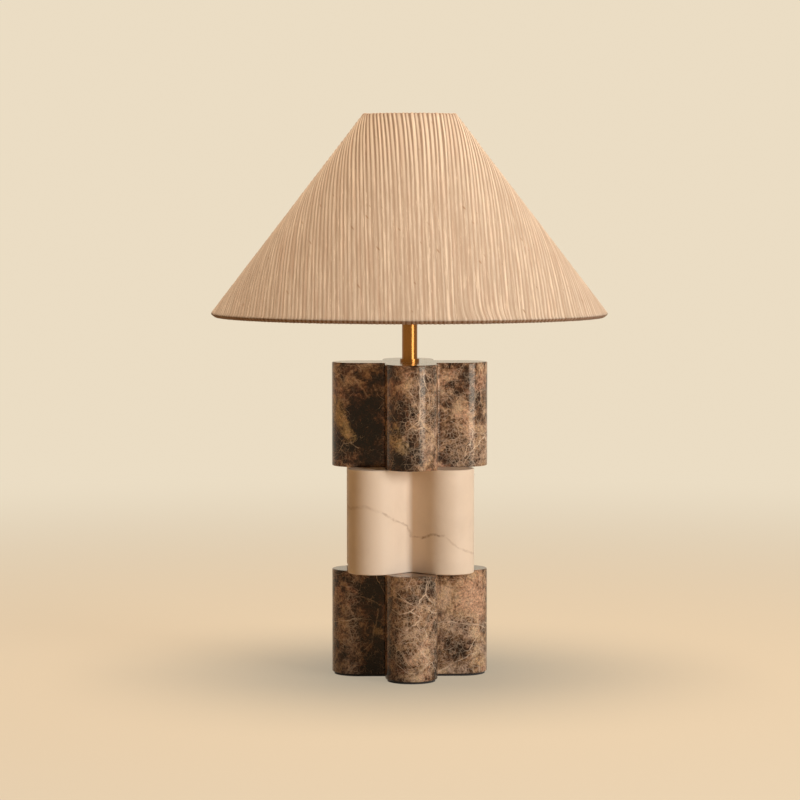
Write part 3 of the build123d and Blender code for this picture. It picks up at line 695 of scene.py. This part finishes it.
def panel_grid(cone, shade, lap, lowered, seed):
    """Grid of one cloth panel as slant distance, offset and turn, with its flat map and rib values.

    Columns follow the ribs. Rows run from inside the top hem, over the top ring, down the cone and round
    the bottom ring. A rib stands over the grooves by its depth times a power of the sine across it and a
    thickness that drifts along it, flatter lower down and beside a seam where another panel laps over.
    The grooves of a lapping panel rise towards its seam.
    """
    rng = np.random.default_rng(seed)
    edge = cone.half_turn + lap
    low, high = INSIDE_CORNER * cone.bottom * np.sin(np.array([-edge, edge]) - shade.skew)
    across, rib, part = rib_columns(low, high, shade, rng)
    start, at_seam = rib_starts(across, edge, cone, shade)
    slant = start + (cone.bottom - start) * np.linspace(0, 1, shade.rows)[:, None]

    pulled = smooth(*PULL_BEGINS, across) * (1 - smooth(*PULL_ENDS, across))
    drift = DRIFT * along_ribs(rib, slant, DRIFT_STEP, rng)
    drift = drift + shade.hem_pull * pulled * np.exp(-(cone.bottom - slant) / shade.pull_reach)
    turn = (rib_angle(across, slant, cone, shade) + drift / slant) / cone.sine
    turn = np.clip(turn, -edge / cone.sine, edge / cone.sine)

    own = rng.normal(0, OWN_TONE, int(rib.max()) + 1)[rib]
    tone = own + TONE_DRIFT * along_ribs(rib, slant, TONE_STEP, rng)
    thick = THICK + OWN_THICK * own + THICK_DRIFT * along_ribs(rib, slant, THICK_STEP, rng)
    thick = np.clip(thick, THINNEST, THICKEST)
    down = (slant - cone.top) / (cone.bottom - cone.top)
    section = np.sin(np.pi * part) ** ARCH_POWER
    arch = section * (1 - FLATTER_BELOW * down)
    from_edge = edge - np.abs(turn) * cone.sine
    near_seam = 1 - smooth(0, 2 * shade.seam_lap, from_edge)
    offset = shade.groove_offset + shade.seam_rise * near_seam * (1 - lowered)
    offset = offset + shade.rib_depth * arch * thick * (1 - FLATTER_AT_SEAM * near_seam * lowered)

    # A column that begins at a seam has no top hem: its rows there close the cut edge
    head_slant, head_offset = hem_rows(cone.top, -1.0, offset[0], TOP_ROLL, shade)
    foot_slant, foot_offset = hem_rows(cone.bottom, 1.0, offset[-1], BOTTOM_ROLL, shade)
    head_slant = np.where(at_seam, slant[0], head_slant[::-1])
    head_offset = np.where(at_seam, shade.edge_offset, head_offset[::-1])
    count = len(head_slant)
    shape = (2 * count + shade.rows, len(across))

    # Painted shade on the hems by degrees of their turn, darkest where the bottom hem turns under
    degrees = np.append(np.degrees(ROLL), np.full(len(LAP), 180.0))
    hem = np.zeros(shape[0])
    hem[:count] = TOP_DARK + TOP_DARKER * smooth(*TOP_SPAN, degrees[::-1])
    hem[count] = RIM_DARK
    hem[-count:] = BOTTOM_DARK * smooth(*BOTTOM_SPAN, degrees)
    below = np.linspace(*HEM_MAP, count)[:, None]
    grid = {
        "slant": np.concatenate([head_slant, slant, foot_slant]),
        "offset": np.concatenate([head_offset, offset, foot_offset]),
        "turn": with_hems(turn, count),
        "rib_tone": with_hems(tone, count),
        "rib_height": np.broadcast_to(section, shape),
        "hem": np.broadcast_to(hem[:, None], shape),
        "flat_x": np.broadcast_to(across, shape),
        "flat_y": np.concatenate([slant[:1] - below[::-1], slant, slant[-1:] + below]),
    }
    keep = np.ones((shape[0] - 1, shape[1] - 1), bool)
    keep[:count, at_seam[:-1] | at_seam[1:]] = False
    keep[count - 1, at_seam[:-1] & at_seam[1:]] = True
    return grid, keep


def grid_faces(keep):
    """Quads of a grid, wound so that they face outwards, with the cells that aren't kept left out."""
    rows, columns = keep.shape
    index = np.arange((rows + 1) * (columns + 1)).reshape(rows + 1, columns + 1)
    quads = np.stack([index[:-1, :-1], index[1:, :-1], index[1:, 1:], index[:-1, 1:]], axis=-1)
    return quads[keep]


def lay_mesh(name, points, quads, flat=None, values=None):
    """Smooth mesh object from arrays of points and quads, with an optional flat map and point values."""
    used, quads = np.unique(quads, return_inverse=True)
    quads = quads.reshape(-1, 4)
    mesh = bpy.data.meshes.new(name)
    mesh.from_pydata(points[used], [], quads, shade_flat=False)
    if flat is not None:
        layer = mesh.uv_layers.new(name="flat")
        layer.uv.foreach_set("vector", flat[used][quads.ravel()].astype(np.float32).ravel())
    for key, value in (values or {}).items():
        field = mesh.attributes.new(key, "FLOAT", "POINT")
        field.data.foreach_set("value", value[used].astype(np.float32))
    mesh.validate()
    piece = bpy.data.objects.new(name, mesh)
    bpy.context.scene.collection.objects.link(piece)
    return piece


def cloth_panel(name, cone, shade, lap, lowered, facing, seed):
    """One half of the shade's cloth as a mesh, turned to face the front or the back."""
    grid, keep = panel_grid(cone, shade, lap, lowered, seed)
    points = cone.points(grid["slant"], grid["offset"], grid["turn"] + facing).reshape(-1, 3)
    flat = np.stack([grid["flat_x"], grid["flat_y"]], axis=-1).reshape(-1, 2)
    values = {key: np.ascontiguousarray(grid[key]).ravel() for key in ("rib_height", "rib_tone", "hem")}
    return lay_mesh(name, points, grid_faces(keep), flat, values)


# Patches of the two dark blocks, as centre, reach and weight, in mm

TOP_TONES = (
    # The first patch darkens the left arm, where the front lobe casts its shade: painted shade
    ((-42, -24, 236), (26, 30, 50), -0.24), ((-50, -24, 262), (20, 20, 11), 0.22),
    ((-60, -20, 200), (14, 30, 14), 0.1), ((-4, -70, 267), (13, 20, 12), 0.26),
    ((-6, -70, 247), (16, 20, 17), -0.26), ((-12, -70, 193), (15, 20, 12), -0.32),
    ((15, -66, 212), (12, 20, 26), 0.22), ((34, -24, 270), (10, 20, 16), 0.1),
    ((35, -24, 244), (9, 20, 18), -0.22), ((48, -24, 237), (12, 30, 16), 0.24),
    ((51, -24, 272), (8, 20, 8), -0.2), ((62, -18, 236), (16, 40, 40), 0.04),
    ((50, -20, 236), (36, 60, 70), -0.04), ((-48, -22, 236), (40, 40, 70), -0.06),
)
TOP_OCHRES = (
    ((-67, -10, 244), (12, 40, 22), 0.52), ((-61, -16, 229), (12, 30, 18), 0.52),
    ((-54, -22, 217), (11, 30, 13), 0.5), ((-17, -66, 223), (14, 24, 24), 0.42),
    ((-8, -70, 211), (12, 24, 12), 0.46),
)
TOP_NETS = (
    ((8, -66, 236), (22, 30, 60), 0.13), ((50, -24, 206), (36, 60, 30), 0.2),
    ((50, -24, 250), (36, 60, 40), 0.06), ((-42, -24, 240), (30, 40, 60), -0.12),
)
BASE_TONES = (
    # The first two patches darken the left arm beside the front lobe, where it casts its shade: painted
    # shade
    ((-34, -24, 76), (18, 30, 26), -0.34), ((-30, -24, 16), (18, 30, 24), -0.38),
    ((-58, -18, 50), (24, 40, 60), -0.02), ((0, -70, 78), (22, 20, 18), -0.16),
    ((10, -70, 30), (14, 20, 20), 0.14), ((-16, -70, 28), (10, 20, 16), -0.2),
    ((0, -70, 6), (30, 30, 13), 0.26), ((46, -24, 74), (40, 70, 34), 0.34),
    ((50, -24, 40), (40, 70, 60), 0.15), ((44, -24, 26), (20, 40, 22), -0.22),
    ((66, -10, 14), (14, 40, 20), 0.16), ((0, -70, 48), (30, 40, 60), 0.23),
)
BASE_OCHRES = (
    ((-29, -24, 42), (8, 20, 10), 0.55), ((62, -16, 12), (12, 40, 12), 0.4),
)
BASE_NETS = (
    ((4, -66, 50), (40, 40, 70), 0.13), ((50, -24, 46), (36, 60, 12), 0.2),
    ((50, -24, 40), (36, 60, 60), 0.05), ((-30, -24, 50), (18, 50, 60), -0.08),
    ((-54, -20, 46), (22, 50, 60), 0.07),
)

# Long veins of the three blocks, as width, strength and points, in mm

TOP_VEINS = (
    (1, 0.95, ((-3.6, 262.3), (2.2, 251.7), (8, 242), (5.1, 231.4))),
    (0.9, 0.8, ((4.1, 273.9), (6.1, 257.5), (8, 244))),
    (0.9, 0.6, ((4.1, 241), (9.9, 234.3))),
    (1, 0.7, ((-54.4, 212.6), (-50.4, 209.7), (-46.5, 207.2))),
    (1.4, 0.34, ((-65.2, 259.8), (-57.3, 272.6), (-50.4, 270.6), (-38, 253))),
    (0.9, 0.5, ((36, 231.3), (48.9, 226.4))),
    (0.9, 0.5, ((45.9, 210.6), (49.8, 199.8))),
)
BASE_VEINS = (
    (1.1, 0.95, ((-17.5, 66.6), (-9.8, 62.3), (-2.1, 64.7), (12.3, 80.1), (20, 69.5))),
    (1, 0.9, ((-2.1, 66), (8.5, 58.9), (1.7, 53.1), (-6, 48.3))),
    (0.8, 0.65, ((-15.6, 51.2), (-6, 45.4), (-8.4, 38.6))),
    (0.9, 0.7, ((12.8, 92.6), (12.3, 80.1))),
    (1.2, 0.8, ((25, 47.7), (31.8, 49.2), (42.7, 48.2), (57.4, 47.2), (68.2, 42.3))),
    (1, 0.65, ((25, 4), (39.7, 11.8), (59.4, 21.7))),
    (1, 0.45, ((-55.6, 75.7), (-45.8, 72.8), (-25.2, 64.9))),
    (1, 0.45, ((-28.1, 62), (-31.1, 50.2), (-35, 30.5), (-41.9, 23.6))),
)
CREAM_VEINS = (
    (2.4, 0.3, ((-60, 155.2), (-42, 157.2), (-26.6, 152.2))),
    (1.7, 0.5, ((-26.6, 152.2), (-14.6, 144.5), (-3.4, 138.1))),
    (1.5, 0.4, ((-3.4, 138.1), (0, 128.8), (9.4, 127.9))),
    (1.8, 0.85, ((9.4, 127.9), (18.9, 133.1), (28.3, 130.9))),
    (1.5, 0.3, ((28.3, 130.9), (39.4, 121.5), (55.7, 113.9))),
)

# All marks of a dark block, after the offset of its noise

TOP_MARKS = (0.31, 0.12, 0.05), TOP_TONES, TOP_OCHRES, TOP_NETS, TOP_VEINS
BASE_MARKS = (-0.17, 0.23, 0.41), BASE_TONES, BASE_OCHRES, BASE_NETS, BASE_VEINS


# Operators

class LAMP_OT_stone(bpy.types.Operator):
    """Finish the three stone blocks and the pad under them"""

    bl_idname = "lamp.stone"
    bl_label = "Stone blocks"

    def execute(self, context):
        stone = context.scene.lamp_stone
        dress(dark_stone("dark_marble_top", stone, TOP_MARKS), "top_block")
        dress(dark_stone("dark_marble_base", stone, BASE_MARKS), "base_block")
        dress(cream_stone(stone), "middle_block")
        dress(felt_pad(), "base_pad")
        return {"FINISHED"}


class LAMP_OT_rod(bpy.types.Operator):
    """Finish the threaded rod, its nuts and washers, and the cord inlet"""

    bl_idname = "lamp.rod"
    bl_label = "Rod and base fittings"

    def execute(self, context):
        steel = context.scene.lamp_metal.steel
        dress(threaded_metal("threaded_steel", steel, pitch=0.001), "lamp_rod")
        plated = satin_metal("plated_steel", steel, roughness=0.33, brush=1)
        dress(plated, "base_washer", "base_lock_washer", "base_nut")
        dress(plated, "cap_grub_screw", "terminal_screws", "switch_shaft")
        rubber = moulded("rubber", (0.022, 0.021, 0.02), roughness=0.6, grain=600, dirt=1.5)
        dress(rubber, "cord_grommet")
        return {"FINISHED"}


class LAMP_OT_brass(bpy.types.Operator):
    """Finish the brass neck, the lampholder's brass and the switch knob"""

    bl_idname = "lamp.brass"
    bl_label = "Brass neck and lampholder"

    def execute(self, context):
        metal = context.scene.lamp_metal
        satin = satin_metal("satin_brass", metal.brass, metal.brass_roughness, brush=12, lacquer=0.3)
        dress(satin, "neck_flange", "neck_tube", "neck_nut", "holder_cap", "holder_shell")
        dress(satin, "switch_bush", "switch_knob", "clamp_ring")
        bright = satin_metal("bright_brass", metal.bright, roughness=0.18, brush=6)
        dress(bright, "screw_shell", "centre_contact", "bulb_tip")
        ceramic = moulded("holder_ceramic", (0.84, 0.81, 0.75), roughness=0.35, grain=400, dirt=0.93)
        dress(ceramic, "holder_core")
        plastic = moulded("switch_plastic", (0.12, 0.09, 0.07), roughness=0.5, grain=500, dirt=0.8)
        dress(plastic, "switch_rotor")
        return {"FINISHED"}


class LAMP_OT_bulb(bpy.types.Operator):
    """Finish the bulb"""

    bl_idname = "lamp.bulb"
    bl_label = "Bulb"

    def execute(self, context):
        nickel = context.scene.lamp_metal.nickel
        dress(bulb_glow(context.scene.lamp_bulb), "bulb_diffuser")
        body = moulded("bulb_body", (0.86, 0.86, 0.84), roughness=0.4, grain=500, dirt=0.95)
        dress(body, "bulb_housing")
        dress(satin_metal("bulb_cap", nickel, roughness=0.22, brush=4), "bulb_cap")
        black = moulded("black_insulator", (0.012, 0.012, 0.012), roughness=0.2, grain=300, dirt=1.6)
        dress(black, "bulb_tip_insulator")
        board = moulded("circuit_board", (0.8, 0.82, 0.79), roughness=0.45, grain=350, dirt=0.9)
        dress(board, "led_board", "driver_board")
        return {"FINISHED"}


class LAMP_OT_carrier(bpy.types.Operator):
    """Finish the wire carrier, the two rings and the stiff liner of the shade"""

    bl_idname = "lamp.carrier"
    bl_label = "Shade carrier and liner"

    def execute(self, context):
        shade = context.scene.lamp_shade
        coat = moulded("white_wire", shade.wire, roughness=0.42, grain=900, dirt=0.92)
        dress(coat, "fitter_ring", "fitter_arms", "shade_top_ring", "shade_bottom_ring")
        dress(liner_finish(shade), "shade_liner")
        return {"FINISHED"}


class LAMP_OT_cloth(bpy.types.Operator):
    """Make the two ribbed cloth panels of the shade"""

    bl_idname = "lamp.cloth"
    bl_label = "Shade cloth"

    def execute(self, context):
        shade = context.scene.lamp_shade
        cone = Cone()
        finish = cloth_finish(shade, cone)
        panels = (
            ("cloth_front", "shade_cover_front", shade.seam_lap, 0.0, 0.0, 11),
            ("cloth_back", "shade_cover_back", 0.0, 1.0, math.pi, 23),
        )
        for name, node, lap, lowered, facing, seed in panels:
            piece = cloth_panel(name, cone, shade, lap, lowered, facing, seed)
            piece.data.materials.append(finish.material)
            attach(piece, "shade")
            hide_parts(node)
        return {"FINISHED"}


# Stage, in metres

FLOOR_RADIUS, FLOOR_BEND, FLOOR_HEIGHT = 3.4, 1.4, 4.0
FLOOR_HOLE, FLOOR_INNER = 0.02, 0.3
FLAT_STEPS, BEND_STEPS, TURN_STEPS = 24, 17, 129
VEIL_BEGINS, VEIL_ENDS = 0.2, 2.0
KEY_AIM, KEY_SIZE = (0, 0, 0.4), (1.1, 1.2)
TOP_PLACE, TOP_AIM, TOP_SIZE = (0, 0, 2.3), (0, 0, 0), (1.6, 1.6)


def seen_rays(nodes):
    """1 for rays of the camera, of reflections and through glass, and 0 for the rest."""
    path = nodes.node("LightPath").outputs
    mirrored = nodes.math("MAXIMUM", path["Is Glossy Ray"], path["Is Transmission Ray"])
    return nodes.math("MAXIMUM", path["Is Camera Ray"], mirrored)


def pale_floor(stage):
    """Matt pale floor that turns, far from the lamp, into a plain background to camera and reflections.

    Its bounced light is dimmer and warmer than its colour, so that the lamp's sides keep their shadows.
    """
    f = Finish("floor", Roughness=0.85, Specular_IOR_Level=0.2)
    uneven = f.remap(f.noise(f.place, 1.5, 3), 0.3, 0.7)
    tint = f.mix(uneven, stage.floor, scaled(stage.floor, 0.985))
    bounced = f.node("LightPath").outputs["Is Diffuse Ray"]
    f.look(Base_Color=f.mix(bounced, tint, stage.bounce))
    away = f.vector("LENGTH", f.place, output="Value")
    far = f.remap(away, VEIL_BEGINS, VEIL_ENDS, stage.veil, 1)
    plain = f.node("Emission", stage.background)
    f.surface(f.times(far, seen_rays(f)), f.shader, plain)
    return f


def pale_world(stage):
    """World of soft light from all round, which is plain background to camera and reflections."""
    world = bpy.data.worlds.new("soft_light")
    world.use_nodes = True
    nodes = Nodes(world.node_tree, "World Output")
    soft = world.node_tree.nodes["Background"]
    nodes.feed(soft, {"Color": stage.ambient, "Strength": stage.ambient_strength})
    plain = nodes.node("Background", stage.background)
    nodes.surface(seen_rays(nodes), soft, plain)
    return world


def floor_bowl():
    """Round floor whose rim bends up: a profile of flat, quarter circle and upright, turned about Z."""
    flat = np.append(FLOOR_HOLE, np.linspace(FLOOR_INNER, FLOOR_RADIUS, FLAT_STEPS))
    quarter = np.linspace(0, np.pi / 2, BEND_STEPS)[1:]
    bent = FLOOR_RADIUS + FLOOR_BEND * np.sin(quarter)
    out = np.concatenate([flat, bent, bent[-1:]])[:, None]
    up = np.concatenate([0 * flat, FLOOR_BEND * (1 - np.cos(quarter)), [FLOOR_HEIGHT]])[:, None]
    turn = np.linspace(0, 2 * np.pi, TURN_STEPS)
    points = np.stack([out * np.cos(turn), out * np.sin(turn), up + 0 * turn], axis=-1)
    keep = np.ones((len(out) - 1, len(turn) - 1), bool)
    return lay_mesh("floor", points.reshape(-1, 3), grid_faces(keep))


def around(reach, azimuth, height):
    """Point at a reach from the lamp's axis, an azimuth to the right of the front, and a height."""
    return reach * math.sin(azimuth), -reach * math.cos(azimuth), height


def area_light(name, place, target, size, watts, tint):
    """Rectangular lamp that faces a target and stays out of the camera's sight."""
    data = bpy.data.lights.new(name, "AREA")
    data.shape = "RECTANGLE"
    data.size, data.size_y = size
    data.energy = watts
    data.color = tint
    lamp = bpy.data.objects.new(name, data)
    bpy.context.scene.collection.objects.link(lamp)
    lamp.location = place
    lamp.rotation_euler = (Vector(target) - Vector(place)).to_track_quat("-Z", "Y").to_euler()
    lamp.visible_camera = False


class LAMP_OT_stage(bpy.types.Operator):
    """Make the pale floor, the lights and the camera"""

    bl_idname = "lamp.stage"
    bl_label = "Stage"

    def execute(self, context):
        scene = context.scene
        stage = scene.lamp_stage
        floor = floor_bowl()
        floor.data.materials.append(pale_floor(stage).material)

        scene.world = pale_world(stage)
        key_place = around(stage.key_reach, stage.key_azimuth, stage.key_height)
        area_light("key", key_place, KEY_AIM, KEY_SIZE, stage.key_power, stage.key)
        area_light("top", TOP_PLACE, TOP_AIM, TOP_SIZE, stage.top_power, stage.top)

        data = bpy.data.cameras.new("camera")
        data.lens = stage.lens
        data.sensor_width = 36.0
        data.clip_start, data.clip_end = 0.05, 50.0
        camera = bpy.data.objects.new("camera", data)
        scene.collection.objects.link(camera)
        camera.location = around(stage.camera_distance, stage.camera_azimuth, stage.camera_height)
        camera.rotation_euler = (math.pi / 2 - stage.camera_pitch, 0.0, stage.camera_yaw)
        scene.camera = camera
        scene.view_settings.view_transform = "Standard"
        return {"FINISHED"}


# Panel and registration

STEPS = (
    LAMP_OT_stone, LAMP_OT_rod, LAMP_OT_brass, LAMP_OT_bulb,
    LAMP_OT_carrier, LAMP_OT_cloth, LAMP_OT_stage,
)
SETTINGS = {
    "lamp_stone": StoneSettings,
    "lamp_metal": MetalSettings,
    "lamp_shade": ShadeSettings,
    "lamp_bulb": BulbSettings,
    "lamp_stage": StageSettings,
}


class LAMP_PT_panel(bpy.types.Panel):
    """Sidebar panel with the lamp's steps and settings"""

    bl_idname = "LAMP_PT_panel"
    bl_label = "Marble Table Lamp"
    bl_space_type = "VIEW_3D"
    bl_region_type = "UI"
    bl_category = "Lamp"

    def draw(self, context):
        layout = self.layout
        for step in STEPS:
            layout.operator(step.bl_idname)
        for key, group in SETTINGS.items():
            box = layout.box()
            box.label(text=group.__doc__)
            for name in group.__annotations__:
                box.prop(getattr(context.scene, key), name)


def register():
    """Register the settings, the operators and the panel."""
    for key, group in SETTINGS.items():
        bpy.utils.register_class(group)
        setattr(bpy.types.Scene, key, PointerProperty(type=group))
    for step in (*STEPS, LAMP_PT_panel):
        bpy.utils.register_class(step)


def unregister():
    """Remove what register added."""
    for step in (LAMP_PT_panel, *reversed(STEPS)):
        bpy.utils.unregister_class(step)
    for key, group in SETTINGS.items():
        delattr(bpy.types.Scene, key)
        bpy.utils.unregister_class(group)


def main():
    register()
    bpy.ops.lamp.stone()
    bpy.ops.lamp.rod()
    bpy.ops.lamp.brass()
    bpy.ops.lamp.bulb()
    bpy.ops.lamp.carrier()
    bpy.ops.lamp.cloth()
    bpy.ops.lamp.stage()


if __name__ == "__main__":
    main()
